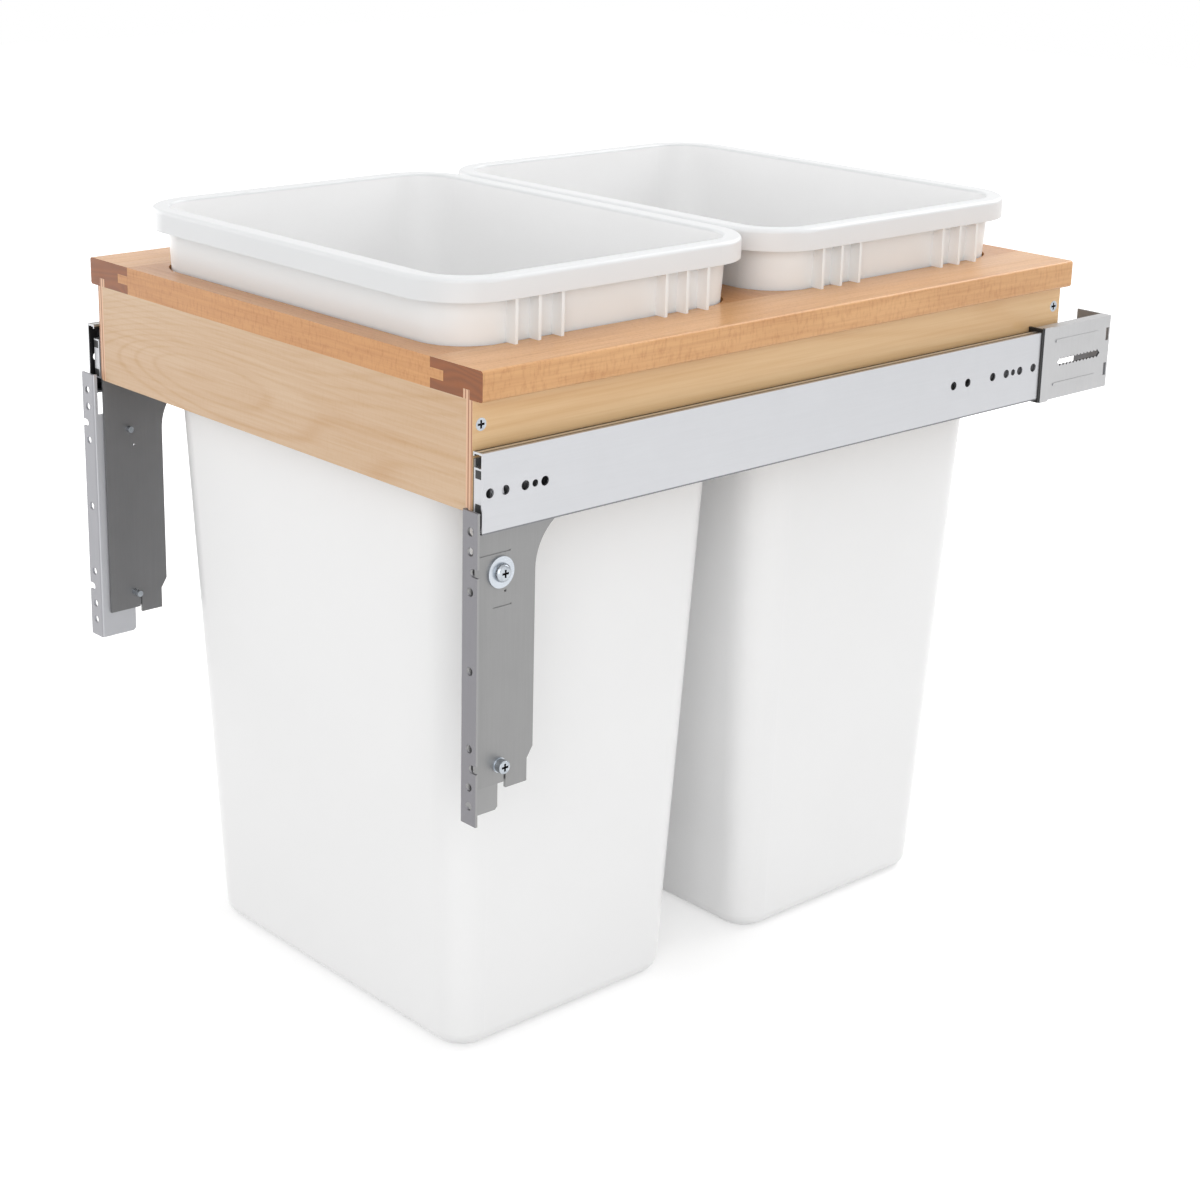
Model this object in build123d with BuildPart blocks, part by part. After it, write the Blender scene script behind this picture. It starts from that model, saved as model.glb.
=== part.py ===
from build123d import *
import os

# Pull out waste unit: maple frame and apron box, ball-bearing slides, door and
# rear brackets, two bins. Millimetres. X is width, +Y is towards the back of
# the cabinet, Z is up. Z = 0 is the centre line of the slides.

# ---- top frame ----
FRAME_W = 454.0
FRAME_D = 586.0
FRAME_T = 20.0
FRAME_TOP = 76.5
FRAME_BOTTOM = FRAME_TOP - FRAME_T
FRAME_MID_Z = FRAME_TOP - FRAME_T / 2
STILE_W = 51.0
STILE_IN = FRAME_W / 2 - STILE_W
END_RAIL_W = 19.35
MIDDLE_RAIL_W = 26.5
RAIL_OVERLAP = 30.0
TONGUE_L = 13.0
TONGUE_T = FRAME_T / 3
TONGUE_GAP = 0.1
EDGE_ROUND = 2.0

# ---- bins, each hanging in one opening of the frame ----
OPEN_HALF_Y = (FRAME_D - 2 * END_RAIL_W - MIDDLE_RAIL_W) / 4
BIN_SIDE_GAP = 2.0
BIN_END_GAP = 2.4
BIN_HALF_X = STILE_IN - BIN_SIDE_GAP
BIN_HALF_Y = OPEN_HALF_Y - BIN_END_GAP
BIN_MID = FRAME_D / 2
BIN_FRONT_Y = BIN_MID - MIDDLE_RAIL_W / 2 - OPEN_HALF_Y
BIN_REAR_Y = BIN_MID + MIDDLE_RAIL_W / 2 + OPEN_HALF_Y
BIN_CORNER = 34.0
BIN_CORNER_LOW = 24.0
OPEN_CORNER = BIN_CORNER + BIN_END_GAP
BIN_SLOPE_X = 0.045
BIN_SLOPE_Y = 0.0474
BIN_UP = 45.5
BIN_DOWN = 515.5
BIN_RIM_TOP = FRAME_TOP + BIN_UP
BIN_FLOOR = FRAME_TOP - BIN_DOWN
BIN_WALL = 2.5
BIN_FOOT_ROUND = 11.0
RIM_HALF_X = BIN_HALF_X + 12.2
RIM_HALF_Y = BIN_HALF_Y + 14.3
RIM_CORNER = BIN_CORNER + 13.0
RIM_SKIRT = 15.5
RIM_ROUND = 3.2
RIM_INNER_ROUND = 1.8
RIB_T = 2.5
RIB_ROOT = 1.0
RIB_OUT = BIN_HALF_X + 9.8
RIB_FIRST = 46.4
RIB_STEP = 19.6
RIB_COUNT = 3

# ---- apron box ----
FRAME_OVERHANG = 9.5
PANEL_OUT = FRAME_W / 2 - FRAME_OVERHANG
PANEL_T = 12.0
PANEL_H = 72.0
PANEL_BOTTOM = FRAME_BOTTOM - PANEL_H
PANEL_LIP = 6.0
PANEL_ROUND = 3.0
PANEL_TONGUE = 6.0
PANEL_TONGUE_IN = 3.0
PANEL_FIT = 0.05
PANEL_SCREW_IN = 7.0
PANEL_SCREW_DROP = 16.0
PANEL_SCREW_L = 32.0
PANEL_SCREW_R = 2.0
PANEL_HEAD_R = 4.2
PANEL_HEAD_H = 2.5

# ---- slides; u is measured outwards from the arm face, v from the centre line ----
ARM_T = 2.0
FACE = PANEL_OUT + ARM_T
SLIDE_FRONT = -2.5
SLIDE_END = FRAME_D - 36.8
SLIDE_T = 11.0
SLIDE_HALF_H = 26.0
SLIDE_BEND_R = 1.1
STEEL = 1.2
OUTER_FLANGE_IN = 24.55
OUTER_LIP_REACH = 2.0
OUTER_LIP_IN = 23.2
MEMBER_FRONT = 0.0
MEMBER_END = SLIDE_END - 51.2
MID_FRONT = 6.0
MID_WEB = (8.0, 9.2)
MID_FLANGE = (18.5, 20.2)
MID_REACH = 2.0
INNER_WEB = (0.0, 1.2)
INNER_FLANGE = (13.65, 14.95)
INNER_REACH = 7.0
INNER_TAB_HALF_H = 8.1
INNER_HOLE = (14.0, 4.0)
OUTER_BALL_R = 2.38
OUTER_BALL_AT = (6.8, 22.375)
INNER_BALL_R = 1.985
INNER_BALL_AT = (5.0, 16.725)
RACE_GAP = 0.05
OUTER_CAGE_WEB = (9.3, 9.7)
OUTER_CAGE_FLANGE = (22.1, 22.65)
OUTER_CAGE_REACH = 4.6
INNER_CAGE_WEB = (7.3, 7.7)
INNER_CAGE_FLANGE = (16.45, 17.0)
INNER_CAGE_REACH = 3.0
CAGE_MID = MEMBER_END / 2
CAGE_HALF_L = 100.0
BALL_STEP = 80.0
BALL_PLACES = (CAGE_MID - BALL_STEP, CAGE_MID, CAGE_MID + BALL_STEP)
CAGE_HOLE_GAP = 0.08
ACCESS_SLOT_L = 60.0
ACCESS_SLOT_W = 9.0
ACCESS_PLACES = (MID_FRONT + 40.0, MEMBER_END - 38.0)
BUMPER_REACH = 6.8
BUMPER_REAR = 7.0
HOLE_BIG_R = 3.2
HOLE_SMALL_R = 2.4
HOLE_STEP = 16.2
HOLE_START = 3.6
HOLE_END = 7.6
HOLE_FAR = 85.4
FRONT_HOLES = [HOLE_START] + [k * HOLE_STEP for k in (1, 2, 3)]
REAR_HOLES = [SLIDE_END - HOLE_END - k * HOLE_STEP for k in (0, 1, 2, 3)]
FAR_HOLES = [SLIDE_END - HOLE_FAR - k * HOLE_STEP for k in (0, 1)]
SMALL_HOLES = [2.5 * HOLE_STEP, SLIDE_END - HOLE_END - 1.5 * HOLE_STEP]

# ---- rear brackets ----
COLLAR_T = 2.3
COLLAR_HALF_H = 28.6
COLLAR_IN_GAP = 0.8
COLLAR_PROUD = 0.4
COLLAR_FIT = 0.3
REAR_FRONT = SLIDE_END + COLLAR_T
REAR_END = REAR_FRONT + 85.5
REAR_OUT = FACE + SLIDE_T + 0.5
REAR_T = 1.6
REAR_HALF_H = 28.3
REAR_BEND_R = 1.2
REAR_FLANGE_IN = 9.0
REAR_TURN_IN = REAR_OUT - 31.3
REAR_SLOT_MID = REAR_FRONT + 46.4
REAR_SLOT_L = 51.0
REAR_SLOT_W = 4.4
REAR_TEETH = 12
REAR_TOOTH = 4.8
REAR_TEETH_L = 47.0
REAR_RIB_MID = REAR_FRONT + 42.65
REAR_RIB_L = 54.3
REAR_RIB_V = 17.0
REAR_RIB_W = 2.6
REAR_RIB_H = 0.6
REAR_NECK_END = REAR_FRONT + 9.5
REAR_NECK_H = 0.8
REAR_TONGUE_START = SLIDE_END - 44.2
REAR_TONGUE_HALF_H = 16.0
REAR_TONGUE_U = (8.45, 9.65)
REAR_EDGE_SLOT_IN = 4.0
REAR_EDGE_SLOT_W = 3.2
REAR_EDGE_SLOT_L = 10.0
REAR_EDGE_SLOT_V = 14.0

# ---- door brackets ----
ARM_FRONT = 1.0
ARM_REAR = 51.3
ARM_LEG_V = (-23.5, 20.0)
ARM_FLARE = 38.0
ARM_LOW_REAR = 46.4
ARM_BEND_TOP = -182.5
ARM_BEND_LOW = -190.0
ARM_BOTTOM = -205.9
ARM_STEP = -201.3
ARM_STEP_AT = 28.5
ARM_CUT = 1.7
ARM_CUT_TOP = -193.0
ARM_LINE_HIGH = (3.3, 30.3, -44.3)
ARM_LINE_LOW = (16.4, 31.5, -80.2)
ARM_LINE_W = 1.0
ARM_LINE_DEEP = 0.5
ARM_PEEP = (26.4, -70.5)
ARM_PEEP_R = 1.0
FLANGE_CENTRE = -115.9
FLANGE_L = 209.0
FLANGE_FRONT = -6.5
FLANGE_T = 1.8
FLANGE_W = 15.5
FLANGE_LEG_REAR = 23.5
FLANGE_LEG_TOP = -42.8
FLANGE_LEG_CHAMFER = 2.0
FLANGE_LUG_REAR = 30.0
FLANGE_LUG_H = 26.0
FLANGE_HOLE_R = 2.9
FLANGE_HOLE_NEAR = 52.4
FLANGE_HOLE_NEXT = 78.6
FLANGE_HOLE_FAR = 91.6
FLANGE_NOTCH = 65.4
FLANGE_NOTCH_W = 5.6
FLANGE_BEND_R = 1.6
ADJUST_Y = 22.0
ADJUST_HIGH = -57.3
ADJUST_LOW = -188.0
ADJUST_TRAVEL = 8.0
ADJUST_R = 2.4
ADJUST_SLOT_W = 5.2
ADJUST_FIT = 0.05
WASHER_R = 10.5
WASHER_T = 1.5
WASHER_BORE_R = 2.45
WASHER_EDGE = 0.5
PAN_R = 6.4
PAN_H = 3.8
PAN_CROWN = 3.3
TALL_R = 4.6
TALL_H = 5.5
TALL_CROWN = 0.8
PAN_TIP = 3.4
TALL_TIP = 8.4
CROSS_L = 5.4
CROSS_W = 1.5
CROSS_DEEP = 1.4

# ---- screws under the slides ----
SLIDE_SCREW_PLACES = (62.0, MEMBER_END / 2, MEMBER_END - 58.0)
SLIDE_SCREW_R = 2.0
SLIDE_SCREW_HEAD_R = 4.2
SLIDE_SCREW_HEAD_H = 2.4
SLIDE_SCREW_L = 9.0


def plan_at(z):
    """Plane parallel to the plan at height z."""
    return Plane.XY.offset(z)


def side_at(x):
    """Plane facing +X at x; its own x runs along Y and its own y along Z."""
    return Plane.YZ.offset(x)


def section_at(y):
    """Plane across the depth at y; its own x runs along X and its y along Z."""
    return Plane.XZ.offset(-y)


def box_between(x, y, z, mode=Mode.ADD):
    """Box filling three (low, high) ranges, for use inside a part."""
    centre = ((x[0] + x[1]) / 2, (y[0] + y[1]) / 2, (z[0] + z[1]) / 2)
    with Locations(centre):
        Box(x[1] - x[0], y[1] - y[0], z[1] - z[0], mode=mode)


def patch(u, v):
    """Rectangle of the slide section between two u and two v values."""
    with Locations((FACE + (u[0] + u[1]) / 2, (v[0] + v[1]) / 2)):
        Rectangle(u[1] - u[0], v[1] - v[0])


def patch_pair(u, v):
    """The same rectangle above and below the centre line."""
    patch(u, v)
    patch(u, (-v[1], -v[0]))


def race_pair(at, radius):
    """Rolled ball grooves above and below the centre line."""
    with Locations((FACE + at[0], at[1]), (FACE + at[0], -at[1])):
        Circle(radius + RACE_GAP, mode=Mode.SUBTRACT)


def cross_cut(x, y, z, outward):
    """Cross recess in a screw head whose top lies at x and faces outward."""
    middle = x - outward * CROSS_DEEP / 2
    with Locations((middle, y, z)):
        Box(CROSS_DEEP, CROSS_L, CROSS_W, mode=Mode.SUBTRACT)
        Box(CROSS_DEEP, CROSS_W, CROSS_L, mode=Mode.SUBTRACT)


def save(piece, label):
    piece.label = label
    export_step(piece, f"parts/{label}.step")


def save_both_sides(piece, label):
    """Save a right-hand piece and its mirrored left-hand partner."""
    save(mirror(piece, about=Plane.YZ), f"left_{label}")
    save(piece, f"right_{label}")


os.makedirs("parts", exist_ok=True)

# ---- stiles ----
END_RAIL_REACH = END_RAIL_W + RAIL_OVERLAP
MIDDLE_RAIL_REACH = MIDDLE_RAIL_W / 2 + RAIL_OVERLAP
RAIL_SPANS = (
    (0.0, END_RAIL_REACH),
    (BIN_MID - MIDDLE_RAIL_REACH, BIN_MID + MIDDLE_RAIL_REACH),
    (FRAME_D - END_RAIL_REACH, FRAME_D),
)
PANEL_TONGUE_X = (PANEL_OUT - PANEL_LIP - PANEL_TONGUE_IN, PANEL_OUT - PANEL_TONGUE_IN)
with BuildPart() as stile:
    box_between((STILE_IN, FRAME_W / 2), (0, FRAME_D), (FRAME_BOTTOM, FRAME_TOP))
    outer_edges = stile.edges().filter_by(Axis.Y).group_by(Axis.X)[-1]
    fillet(outer_edges, EDGE_ROUND)
    for span in RAIL_SPANS:
        box_between(
            (STILE_IN, STILE_IN + TONGUE_L + TONGUE_GAP),
            (max(span[0] - TONGUE_GAP, 0), min(span[1] + TONGUE_GAP, FRAME_D)),
            (FRAME_MID_Z - TONGUE_T / 2, FRAME_MID_Z + TONGUE_T / 2),
            mode=Mode.SUBTRACT,
        )
    box_between(
        PANEL_TONGUE_X,
        (0, FRAME_D),
        (FRAME_BOTTOM, FRAME_BOTTOM + PANEL_TONGUE + TONGUE_GAP),
        mode=Mode.SUBTRACT,
    )
save_both_sides(stile.part, "stile")

# ---- rails ----
RAIL_NAMES = ("front_rail", "middle_rail", "back_rail")
for rail_name, span in zip(RAIL_NAMES, RAIL_SPANS):
    with BuildPart() as rail:
        box_between((-STILE_IN, STILE_IN), span, (FRAME_BOTTOM, FRAME_TOP))
        box_between(
            (-STILE_IN - TONGUE_L, STILE_IN + TONGUE_L),
            span,
            (FRAME_MID_Z - TONGUE_T / 2, FRAME_MID_Z + TONGUE_T / 2),
        )
        with BuildSketch(plan_at(FRAME_BOTTOM)):
            with Locations((0, BIN_FRONT_Y), (0, BIN_REAR_Y)):
                RectangleRounded(2 * STILE_IN, 2 * OPEN_HALF_Y, OPEN_CORNER)
        extrude(amount=FRAME_T, mode=Mode.SUBTRACT)
    save(rail.part, rail_name)

# ---- apron box ----
with BuildPart() as side_panel:
    box_between((PANEL_OUT - PANEL_T, PANEL_OUT), (0, FRAME_D), (PANEL_BOTTOM, FRAME_BOTTOM))
    low_edge = side_panel.edges().filter_by(Axis.Y).group_by(Axis.Z)[0].sort_by(Axis.X)[-1]
    fillet(low_edge, PANEL_ROUND)
    box_between(
        PANEL_TONGUE_X,
        (0, FRAME_D),
        (FRAME_BOTTOM, FRAME_BOTTOM + PANEL_TONGUE),
    )
    for ends in ((0, PANEL_T), (FRAME_D - PANEL_T, FRAME_D)):
        box_between(
            (PANEL_OUT - PANEL_T, PANEL_OUT - PANEL_LIP),
            ends,
            (PANEL_BOTTOM, FRAME_BOTTOM),
            mode=Mode.SUBTRACT,
        )
    for depth in (PANEL_SCREW_IN, FRAME_D - PANEL_SCREW_IN):
        with Locations(side_at(PANEL_OUT)):
            with Locations((depth, FRAME_BOTTOM - PANEL_SCREW_DROP)):
                CounterSinkHole(PANEL_SCREW_R + PANEL_FIT, PANEL_HEAD_R + PANEL_FIT, PANEL_T)
    for depth in SLIDE_SCREW_PLACES:
        with Locations(side_at(PANEL_OUT)):
            with Locations((depth, 0)):
                Hole(SLIDE_SCREW_R, SLIDE_SCREW_L)
save_both_sides(side_panel.part, "side_panel")

for panel_name, ends in (("front_panel", (0, PANEL_T)), ("back_panel", (FRAME_D - PANEL_T, FRAME_D))):
    screw_y = PANEL_SCREW_IN if ends[0] == 0 else FRAME_D - PANEL_SCREW_IN
    with BuildPart() as end_panel:
        reach = PANEL_OUT - PANEL_LIP
        box_between((-reach, reach), ends, (PANEL_BOTTOM, FRAME_BOTTOM))
        for outward in (-1, 1):
            pilot = (outward * reach, outward * (PANEL_OUT - PANEL_SCREW_L))
            with Locations(((pilot[0] + pilot[1]) / 2, screw_y, FRAME_BOTTOM - PANEL_SCREW_DROP)):
                Cylinder(PANEL_SCREW_R, abs(pilot[0] - pilot[1]), rotation=(0, 90, 0), mode=Mode.SUBTRACT)
    save(end_panel.part, panel_name)

with BuildPart() as panel_screws:
    for depth in (PANEL_SCREW_IN, FRAME_D - PANEL_SCREW_IN):
        height = FRAME_BOTTOM - PANEL_SCREW_DROP
        with BuildSketch(Plane.XZ.offset(-depth)):
            with BuildLine():
                Polyline(
                    (PANEL_OUT, height),
                    (PANEL_OUT, height + PANEL_HEAD_R),
                    (PANEL_OUT - PANEL_HEAD_H, height + PANEL_SCREW_R),
                    (PANEL_OUT - PANEL_SCREW_L, height + PANEL_SCREW_R),
                    (PANEL_OUT - PANEL_SCREW_L, height),
                    close=True,
                )
            make_face()
        revolve(axis=Axis((0, depth, height), (1, 0, 0)))
        cross_cut(PANEL_OUT, depth, height, 1)
    mirror(about=Plane.YZ)
save(panel_screws.part, "panel_screws")

# ---- slides ----
with BuildPart() as outer_member:
    with BuildSketch(section_at(SLIDE_FRONT)) as outer_section:
        patch((SLIDE_T - STEEL, SLIDE_T), (-SLIDE_HALF_H, SLIDE_HALF_H))
        patch_pair((OUTER_LIP_REACH, SLIDE_T), (OUTER_FLANGE_IN, SLIDE_HALF_H))
        patch_pair((OUTER_LIP_REACH, OUTER_LIP_REACH + STEEL), (OUTER_LIP_IN, OUTER_FLANGE_IN))
        race_pair(OUTER_BALL_AT, OUTER_BALL_R)
        corners = outer_section.vertices().filter_by(lambda c: abs(c.Z) > SLIDE_HALF_H - 0.01)
        fillet(corners, SLIDE_BEND_R)
    extrude(amount=SLIDE_FRONT - SLIDE_END)
    with Locations(side_at(FACE + SLIDE_T)):
        with Locations(*[(y, 0) for y in FRONT_HOLES + REAR_HOLES + FAR_HOLES]):
            Hole(HOLE_BIG_R, 2 * STEEL)
        with Locations(*[(y, 0) for y in SMALL_HOLES]):
            Hole(HOLE_SMALL_R, 2 * STEEL)
save_both_sides(outer_member.part, "outer_member")

with BuildPart() as middle_member:
    with BuildSketch(section_at(MID_FRONT)):
        patch(MID_WEB, (-MID_FLANGE[1], MID_FLANGE[1]))
        patch_pair((MID_REACH, MID_WEB[1]), MID_FLANGE)
        race_pair(OUTER_BALL_AT, OUTER_BALL_R)
        race_pair(INNER_BALL_AT, INNER_BALL_R)
    extrude(amount=MID_FRONT - MEMBER_END)
    with BuildSketch(side_at(FACE + MID_WEB[0])):
        with Locations(*[(y, 0) for y in ACCESS_PLACES]):
            SlotOverall(ACCESS_SLOT_L, ACCESS_SLOT_W)
    extrude(amount=STEEL, mode=Mode.SUBTRACT)
save_both_sides(middle_member.part, "middle_member")

with BuildPart() as inner_member:
    with BuildSketch(section_at(MEMBER_FRONT)):
        patch(INNER_WEB, (-INNER_FLANGE[1], INNER_FLANGE[1]))
        patch_pair((INNER_WEB[0], INNER_REACH), INNER_FLANGE)
        race_pair(INNER_BALL_AT, INNER_BALL_R)
    extrude(amount=MEMBER_FRONT - MEMBER_END)
    box_between(
        (FACE, FACE + BUMPER_REACH),
        (MEMBER_FRONT, MEMBER_FRONT + STEEL),
        (-INNER_TAB_HALF_H, INNER_TAB_HALF_H),
    )
    with Locations(side_at(FACE + STEEL)):
        with Locations(*[(y, 0) for y in SLIDE_SCREW_PLACES]):
            Hole(SLIDE_SCREW_R + PANEL_FIT, STEEL)
        with Locations(INNER_HOLE):
            Hole(HOLE_SMALL_R, STEEL)
save_both_sides(inner_member.part, "inner_member")

CAGES = (
    ("outer", OUTER_CAGE_WEB, OUTER_CAGE_FLANGE, OUTER_CAGE_REACH, OUTER_BALL_AT, OUTER_BALL_R),
    ("inner", INNER_CAGE_WEB, INNER_CAGE_FLANGE, INNER_CAGE_REACH, INNER_BALL_AT, INNER_BALL_R),
)
for cage_name, web, flange, reach, at, ball_r in CAGES:
    ball_centres = [(FACE + at[0], y, v) for y in BALL_PLACES for v in (at[1], -at[1])]
    with BuildPart() as cage:
        with BuildSketch(section_at(CAGE_MID - CAGE_HALF_L)):
            patch(web, (-flange[1], flange[1]))
            patch_pair((reach, web[1]), flange)
        extrude(amount=-2 * CAGE_HALF_L)
        with Locations(*ball_centres):
            Sphere(ball_r + CAGE_HOLE_GAP, mode=Mode.SUBTRACT)
    save_both_sides(cage.part, f"{cage_name}_ball_cage")
    with BuildPart() as balls:
        with Locations(*ball_centres):
            Sphere(ball_r)
    save_both_sides(balls.part, f"{cage_name}_balls")

with BuildPart() as front_bumper:
    for v in ((INNER_TAB_HALF_H, INNER_FLANGE[0]), (-INNER_FLANGE[0], -INNER_TAB_HALF_H)):
        box_between((FACE + STEEL, FACE + BUMPER_REACH), (MEMBER_FRONT, BUMPER_REAR), v)
save_both_sides(front_bumper.part, "front_bumper")

# ---- screws through the inner members ----
with BuildPart() as slide_screws:
    for y in SLIDE_SCREW_PLACES:
        with Locations((FACE + STEEL + SLIDE_SCREW_HEAD_H / 2, y, 0)):
            Cylinder(SLIDE_SCREW_HEAD_R, SLIDE_SCREW_HEAD_H, rotation=(0, 90, 0))
        shank = (PANEL_OUT - SLIDE_SCREW_L, FACE + STEEL)
        with Locations(((shank[0] + shank[1]) / 2, y, 0)):
            Cylinder(SLIDE_SCREW_R, shank[1] - shank[0], rotation=(0, 90, 0))
        cross_cut(FACE + STEEL + SLIDE_SCREW_HEAD_H, y, 0, 1)
    mirror(about=Plane.YZ)
save(slide_screws.part, "slide_screws")

# ---- rear collars and brackets ----
with BuildPart() as collar:
    box_between(
        (PANEL_OUT + COLLAR_IN_GAP, REAR_OUT + COLLAR_PROUD),
        (SLIDE_END, REAR_FRONT),
        (-COLLAR_HALF_H, COLLAR_HALF_H),
    )
    box_between(
        (FACE + REAR_TONGUE_U[0] - COLLAR_FIT, FACE + REAR_TONGUE_U[1] + COLLAR_FIT),
        (SLIDE_END, REAR_FRONT),
        (-REAR_TONGUE_HALF_H - COLLAR_FIT, REAR_TONGUE_HALF_H + COLLAR_FIT),
        mode=Mode.SUBTRACT,
    )
save_both_sides(collar.part, "rear_collar")

with BuildPart() as rear_bracket:
    box_between((REAR_OUT - REAR_T, REAR_OUT), (REAR_FRONT, REAR_END), (-REAR_HALF_H, REAR_HALF_H))
    box_between((REAR_TURN_IN, REAR_OUT), (REAR_END - REAR_T, REAR_END), (-REAR_HALF_H, REAR_HALF_H))
    for v in ((REAR_HALF_H - REAR_T, REAR_HALF_H), (-REAR_HALF_H, -REAR_HALF_H + REAR_T)):
        box_between((REAR_OUT - REAR_FLANGE_IN, REAR_OUT), (REAR_FRONT, REAR_END), v)
    turned = rear_bracket.edges().filter_by(Axis.Z).group_by(Axis.Y)[-1].sort_by(Axis.X)[-1]
    fillet(turned, REAR_BEND_R)
    box_between(
        (REAR_OUT - REAR_T, REAR_OUT + REAR_NECK_H),
        (REAR_FRONT, REAR_NECK_END),
        (-REAR_HALF_H - REAR_NECK_H, REAR_HALF_H + REAR_NECK_H),
    )
    box_between(
        (FACE + REAR_TONGUE_U[0], REAR_OUT),
        (REAR_FRONT, REAR_NECK_END),
        (-REAR_TONGUE_HALF_H, REAR_TONGUE_HALF_H),
    )
    box_between(
        (FACE + REAR_TONGUE_U[0], FACE + REAR_TONGUE_U[1]),
        (REAR_TONGUE_START, REAR_FRONT),
        (-REAR_TONGUE_HALF_H, REAR_TONGUE_HALF_H),
    )
    with BuildSketch(side_at(REAR_OUT)):
        with Locations((REAR_RIB_MID, REAR_RIB_V), (REAR_RIB_MID, -REAR_RIB_V)):
            SlotOverall(REAR_RIB_L, REAR_RIB_W)
    extrude(amount=REAR_RIB_H)
    with BuildSketch(side_at(REAR_OUT - REAR_T)):
        with Locations((REAR_SLOT_MID, 0)):
            SlotOverall(REAR_SLOT_L, REAR_SLOT_W)
            with GridLocations(REAR_TEETH_L / (REAR_TEETH - 1), 0, REAR_TEETH, 1):
                Rectangle(REAR_TOOTH, REAR_TOOTH, rotation=45)
        for v in (REAR_EDGE_SLOT_V, -REAR_EDGE_SLOT_V):
            with Locations((REAR_END - REAR_EDGE_SLOT_IN, v)):
                Rectangle(REAR_EDGE_SLOT_W, REAR_EDGE_SLOT_L)
    extrude(amount=REAR_T, mode=Mode.SUBTRACT)
save_both_sides(rear_bracket.part, "rear_bracket")

# ---- door bracket arms ----
with BuildPart() as arm:
    with BuildSketch(side_at(PANEL_OUT)):
        with BuildLine():
            Polyline(
                (ARM_REAR, ARM_LEG_V[0] - ARM_FLARE),
                (ARM_REAR, ARM_BEND_TOP),
                (ARM_LOW_REAR, ARM_BEND_LOW),
                (ARM_LOW_REAR, ARM_BOTTOM),
                (ARM_STEP_AT, ARM_BOTTOM),
                (ARM_STEP_AT, ARM_STEP),
                (ARM_FRONT, ARM_STEP),
                (ARM_FRONT, ARM_LEG_V[1]),
                (MEMBER_END, ARM_LEG_V[1]),
                (MEMBER_END, ARM_LEG_V[0]),
                (ARM_REAR + ARM_FLARE, ARM_LEG_V[0]),
            )
            RadiusArc((ARM_REAR + ARM_FLARE, ARM_LEG_V[0]), (ARM_REAR, ARM_LEG_V[0] - ARM_FLARE), -ARM_FLARE)
        make_face()
        with Locations((ARM_STEP_AT - ARM_CUT / 2, (ARM_CUT_TOP + ARM_STEP) / 2)):
            Rectangle(ARM_CUT, ARM_CUT_TOP - ARM_STEP, mode=Mode.SUBTRACT)
        with Locations(ARM_PEEP):
            Circle(ARM_PEEP_R, mode=Mode.SUBTRACT)
        with Locations((ADJUST_Y, ADJUST_HIGH), (ADJUST_Y, ADJUST_LOW)):
            Circle(ADJUST_R, mode=Mode.SUBTRACT)
        with Locations(*[(y, 0) for y in SLIDE_SCREW_PLACES]):
            Circle(SLIDE_SCREW_R + PANEL_FIT, mode=Mode.SUBTRACT)
    extrude(amount=ARM_T)
    for start, end, height in (ARM_LINE_HIGH, ARM_LINE_LOW):
        box_between(
            (FACE - ARM_LINE_DEEP, FACE),
            (start, end),
            (height - ARM_LINE_W / 2, height + ARM_LINE_W / 2),
            mode=Mode.SUBTRACT,
        )
save_both_sides(arm.part, "bracket_arm")


def door_flange(leg_x, flange_x, label):
    """L plate: a leg beside the arm and a front flange reaching outwards."""
    low = FLANGE_CENTRE - FLANGE_L / 2
    high = FLANGE_CENTRE + FLANGE_L / 2
    outward = 1 if flange_x[1] > 0 else -1
    free_edge = flange_x[1] if outward > 0 else flange_x[0]
    hole_x = free_edge - outward * (FLANGE_W - FLANGE_T) / 2
    with BuildPart() as flange:
        box_between(flange_x, (FLANGE_FRONT, FLANGE_FRONT + FLANGE_T), (low, high))
        box_between(leg_x, (FLANGE_FRONT, FLANGE_LEG_REAR), (low, FLANGE_LEG_TOP))
        box_between(leg_x, (FLANGE_FRONT, FLANGE_FRONT + 2 * FLANGE_T), (low, high))
        for height in (ADJUST_HIGH, ADJUST_LOW):
            box_between(
                leg_x,
                (FLANGE_LEG_REAR, FLANGE_LUG_REAR),
                (height - FLANGE_LUG_H / 2, height + FLANGE_LUG_H / 2),
            )
        fold = flange.edges().filter_by(Axis.Z).group_by(Axis.Y)[0]
        fold_edge = fold.sort_by(Axis.X)[0] if outward > 0 else fold.sort_by(Axis.X)[-1]
        fillet(fold_edge, FLANGE_BEND_R)
        low_corner = flange.edges().filter_by(Axis.X).group_by(Axis.Z)[0].sort_by(Axis.Y)[-1]
        chamfer(low_corner, FLANGE_LEG_CHAMFER)
        with BuildSketch(section_at(FLANGE_FRONT)):
            with Locations((hole_x, FLANGE_CENTRE)):
                Circle(FLANGE_HOLE_R)
            for side in (-1, 1):
                for place in (FLANGE_HOLE_NEAR, FLANGE_HOLE_NEXT, FLANGE_HOLE_FAR):
                    with Locations((hole_x, FLANGE_CENTRE + side * place)):
                        Circle(FLANGE_HOLE_R)
                with Locations((free_edge, FLANGE_CENTRE + side * FLANGE_NOTCH)):
                    SlotOverall(2 * abs(free_edge - hole_x), FLANGE_NOTCH_W)
        extrude(amount=-FLANGE_T, mode=Mode.SUBTRACT)
        with BuildSketch(side_at(leg_x[0])):
            for height in (ADJUST_HIGH, ADJUST_LOW):
                with Locations((ADJUST_Y, height)):
                    SlotOverall(ADJUST_SLOT_W + 2 * ADJUST_TRAVEL, ADJUST_SLOT_W, rotation=90)
        extrude(amount=leg_x[1] - leg_x[0], mode=Mode.SUBTRACT)
    save(flange.part, label)


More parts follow.
